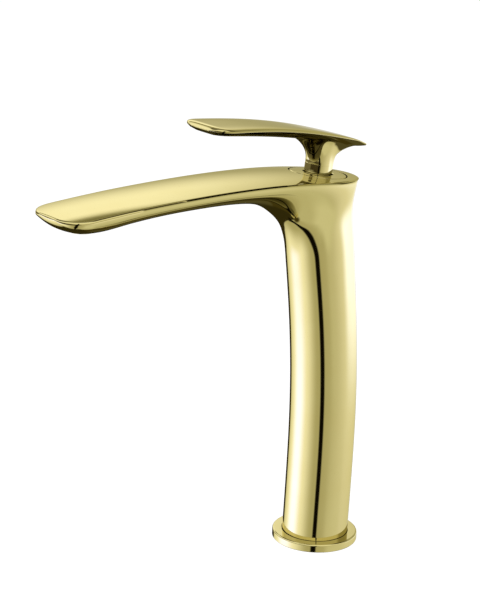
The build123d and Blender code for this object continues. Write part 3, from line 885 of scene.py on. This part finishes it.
fineUnevenness = finishGroup()
coat(finishMaterial("paintedShadePolishedGold", goldAndPaintedShade), headCover, stemCollar, leverLeaf, aeratorRing)
coat(finishMaterial("paintedShadeBodyGold", bodyWithPaintedShade), bodySkin)
coat(finishMaterial("paintedShadeFootGold", footWithPaintedShade), footFlange)
coat(finishMaterial("turnedBrass", brassFinish),
     nodes["retaining_nut"], nodes["base_insert"], nodes["lever_spindle"])
coat(finishMaterial("blackRubber", rubberFinish),
     nodes["base_gasket"], nodes["base_seals"], nodes["aerator_seal"])
coat(finishMaterial("cartridgePlastic", cartridgeFinish),
     nodes["cartridge_housing"], nodes["cartridge_base"], nodes["cartridge_rotor"], nodes["disc_carrier"])
coat(finishMaterial("sealingCeramic", ceramicFinish), nodes["fixed_disc"], nodes["moving_disc"])
coat(finishMaterial("steelPin", steelFinish), nodes["pivot_pin"], nodes["set_screw"])
coat(finishMaterial("screenPlastic", screenFinish), nodes["aerator_screen"])
coat(finishMaterial("plugPlastic", plugFinish), screwPlug)
print("materials done")

# studio: a light tent around the tap, white to the camera, and a white floor

studioLook = {
    "white": 1.0,
    "fill": 0.55,
    "wall": (0.43, 0.42, 0.31),
    # in degrees: azimuth and half width, low and high edge, softness of the three edges; then the colour
    "panels": (
        (-42, 25, -30, 90, 50, 42, 1, (0.99, 1.0, 1.08)),    # wide front wash
        (165, 5, -8, -8, 110, 34, 7, (0.94, 0.94, 0.99)),    # wide right wash
        (115, 30, -90, -38, 30, 1, 8, (0.52, 0.52, 0.42)),    # pale ground on the right
        (108, 16, -46, -27, 20, 18, 8, (0.63, 0.635, 0.555)),    # pale wall above it
        (60, 70, 18, 90, 20, 8, 1, (0.8, 0.8, 0.74)),    # upper wash on the camera's side
        (0, 180, 72, 90, 1, 14, 1, (0.8, 0.8, 0.76)),    # overhead
        (250, 15, 19, 25, 15, 17, 5, (1.06, 1.07, 1.2)),    # panel behind
        (235, 30, 30, 33, 10, 3, 4, (0.2, 0.19, 0.12)),    # its dark upper edge
        (-42, 4, -20, -14, 30, 20, 4, (1.3, 1.4, 2.7)),    # front softbox
        (-30, 70, -9, 5, 15, 4, 7, (0.16, 0.145, 0.095)),    # dark room above it
        (22, 36, -4, 5, 12, 6, 7, (0.05, 0.04, 0.02)),    # darker still behind the camera
        (178, 26, -13, -11, 26, 8, 5, (1.3, 1.4, 2.3)),    # right softbox
        (242, 20, -90, -17, 5, 1, 4, (0.03, 0.025, 0.008)),    # dark ground behind
        (171, 15, -49, -40, 8, 4, 8, (0.05, 0.04, 0.01)),    # dark band below the spout's side
        (206, 20, -90, -40, 6, 1, 8, (0.05, 0.04, 0.01)),    # dark ground beside it
        (190, 34, -42, -29, 8, 4, 4, (0.08, 0.073, 0.04)),    # dark band above both
        (0, 180, -90, -87, 1, 1, 6, (0.05, 0.04, 0.01)),    # dark straight below
        (220, 80, 44, 60, 14, 6, 10, (0.05, 0.04, 0.02)),    # dark roof behind
    ),
    # dark gap between the front wall and the right wall
    "slit": {
        "azimuth": 51.0, "tilt": 8.7, "half": 4.3, "soft": 4.5, "color": (0.004, 0.003, 0.001),
        "closesAt": -105.0, "fullFrom": -40.0, "fullTo": -4.0, "endsAt": 38.0, "least": 0.001,
        "frontElevation": -20.0, "frontSoft": 0.1,
    },
    "floorSize": 12.0,
    "floorDrop": 0.0001,
    "floorColor": (0.9, 0.9, 0.9, 1),
    "floorRoughness": 0.9,
    "floorGlow": 1.1,
    "floorShare": 0.88,
    # name, azimuth, elevation, watts
    "lamps": (("keyLamp", -20, 60, 45), ("sideLamp", 120, 50, 25)),
    "lampDistance": 2.0,
    "lampSize": 1.6,
    "lampTarget": (0, -0.08, 0.15),
}


def heading(azimuth, elevation):    # unit direction, azimuth 0 is the way the spout points
    a, e = math.radians(azimuth), math.radians(elevation)
    return Vector((math.sin(a) * math.cos(e), -math.cos(a) * math.cos(e), math.sin(e)))


def panelShare(tree, way, elevation, panel):    # 1 on a panel of the tent, 0 beside it
    azimuth, half, low, high, sideSoft, lowSoft, highSoft = panel
    ahead = dotWith(tree, way, heading(azimuth, 0))
    aside = dotWith(tree, way, heading(azimuth + 90, 0))
    offset = mathNode(tree, "ABSOLUTE", mathNode(tree, "ARCTAN2", aside, ahead))
    edges = ((offset, half + sideSoft, half),
             (elevation, low - lowSoft, low),
             (elevation, high + highSoft, high))
    share = 1.0
    for value, outside, inside in edges:
        ramp = rampNode(tree, value, math.radians(outside), math.radians(inside))
        share = mathNode(tree, "MULTIPLY", ramp, share)
    return share


def tentColor(tree, look):
    way = tree.nodes.new("ShaderNodeTexCoord").outputs["Generated"]
    elevation = mathNode(tree, "ARCSINE", dotWith(tree, way, (0, 0, 1)))
    color = look["wall"]
    for *panel, paint in look["panels"]:
        color = mixColors(tree, panelShare(tree, way, elevation, panel), color, paint)
    slit = look["slit"]
    beside = mathNode(tree, "ARCSINE", dotWith(tree, way, heading(slit["azimuth"] + 90, -slit["tilt"])))
    lower = rampNode(tree, elevation, math.radians(slit["closesAt"]), math.radians(slit["fullFrom"]))
    upper = rampNode(tree, elevation, math.radians(slit["endsAt"]), math.radians(slit["fullTo"]))
    narrowing = mathNode(tree, "MAXIMUM", mathNode(tree, "MULTIPLY", lower, upper), slit["least"])
    offset = mathNode(tree, "DIVIDE", mathNode(tree, "ABSOLUTE", beside), narrowing)
    within = rampNode(tree, offset, math.radians(slit["half"] + slit["soft"]), math.radians(slit["half"]))
    front = dotWith(tree, way, heading(slit["azimuth"], slit["frontElevation"]))
    inFront = rampNode(tree, front, 0, slit["frontSoft"])
    return mixColors(tree, mathNode(tree, "MULTIPLY", within, inFront), color, slit["color"])


def buildWorld(look):
    world = bpy.data.worlds.new("lightTent")
    scene.world = world
    world.use_nodes = True
    tree = world.node_tree
    path = tree.nodes.new("ShaderNodeLightPath").outputs
    mirrored = mathNode(tree, "MAXIMUM", path["Is Glossy Ray"], path["Is Transmission Ray"])
    direct = mathNode(tree, "MAXIMUM", path["Is Camera Ray"], mirrored)    # camera, mirrors and glass
    background = tree.nodes["Background"]
    color = mixColors(tree, path["Is Camera Ray"], tentColor(tree, look), (1.0, 1.0, 1.0))
    tree.links.new(color, background.inputs["Color"])
    more = mathNode(tree, "MULTIPLY", direct, look["white"] - look["fill"])
    tree.links.new(mathNode(tree, "ADD", more, look["fill"]), background.inputs["Strength"])


buildWorld(studioLook)


def buildFloor(look):
    mesh = bpy.data.meshes.new("studioFloor")
    half = look["floorSize"] / 2
    corners = [(-half, -half, 0), (half, -half, 0), (half, half, 0), (-half, half, 0)]
    mesh.from_pydata(corners, [], [(0, 1, 2, 3)])
    floor = bpy.data.objects.new("studioFloor", mesh)
    scene.collection.objects.link(floor)
    floor.location.z = -look["floorDrop"]
    floor.visible_glossy = False
    material, tree, shader = newMaterial("floorWhite")
    shader.inputs["Base Color"].default_value = look["floorColor"]
    shader.inputs["Roughness"].default_value = look["floorRoughness"]
    shader.inputs["Specular IOR Level"].default_value = 0.0
    mesh.materials.append(material)
    glow = tree.nodes.new("ShaderNodeEmission")
    glow.inputs["Strength"].default_value = look["floorGlow"]
    camera = tree.nodes.new("ShaderNodeLightPath").outputs["Is Camera Ray"]
    mix = tree.nodes.new("ShaderNodeMixShader")
    tree.links.new(mathNode(tree, "MULTIPLY", camera, look["floorShare"]), mix.inputs[0])
    tree.links.new(shader.outputs[0], mix.inputs[1])
    tree.links.new(glow.outputs[0], mix.inputs[2])
    tree.links.new(mix.outputs[0], tree.nodes["Material Output"].inputs["Surface"])


buildFloor(studioLook)


def addLamps(look):
    target = Vector(look["lampTarget"])
    for name, azimuth, elevation, watts in look["lamps"]:
        data = bpy.data.lights.new(name, "AREA")
        data.shape = "DISK"
        data.size = look["lampSize"]
        data.energy = watts
        lamp = bpy.data.objects.new(name, data)
        scene.collection.objects.link(lamp)
        lamp.location = target + heading(azimuth, elevation) * look["lampDistance"]
        lamp.rotation_euler = (target - lamp.location).to_track_quat("-Z", "Y").to_euler()
        lamp.visible_glossy = False    # the tent alone is mirrored


addLamps(studioLook)
print("studio done")

# camera at the photo's viewing angle

cameraSettings = {
    "azimuth": 48.0,
    "elevation": 24.0,
    "distance": 1350.0,
    "yaw": 50.670,
    "pitch": 17.221,
    "roll": 2.3,
    "lens": 116.7,
    "sensor": 36.0,
}


def buildCamera(settings):
    data = bpy.data.cameras.new("photoCamera")
    data.sensor_width = settings["sensor"]
    data.lens = settings["lens"]
    camera = bpy.data.objects.new("photoCamera", data)
    scene.collection.objects.link(camera)
    place = heading(settings["azimuth"], settings["elevation"])
    ahead = -heading(settings["yaw"], settings["pitch"])
    right = heading(settings["yaw"] + 90, 0)
    above = right.cross(ahead)
    roll = math.radians(settings["roll"])
    sideways = right * math.cos(roll) + above * math.sin(roll)
    upwards = above * math.cos(roll) - right * math.sin(roll)
    turn = Matrix((sideways, upwards, -ahead)).transposed()
    camera.matrix_world = Matrix.Translation(place * settings["distance"] * mm) @ turn.to_4x4()
    scene.camera = camera


buildCamera(cameraSettings)
scene.view_settings.view_transform = "Standard"
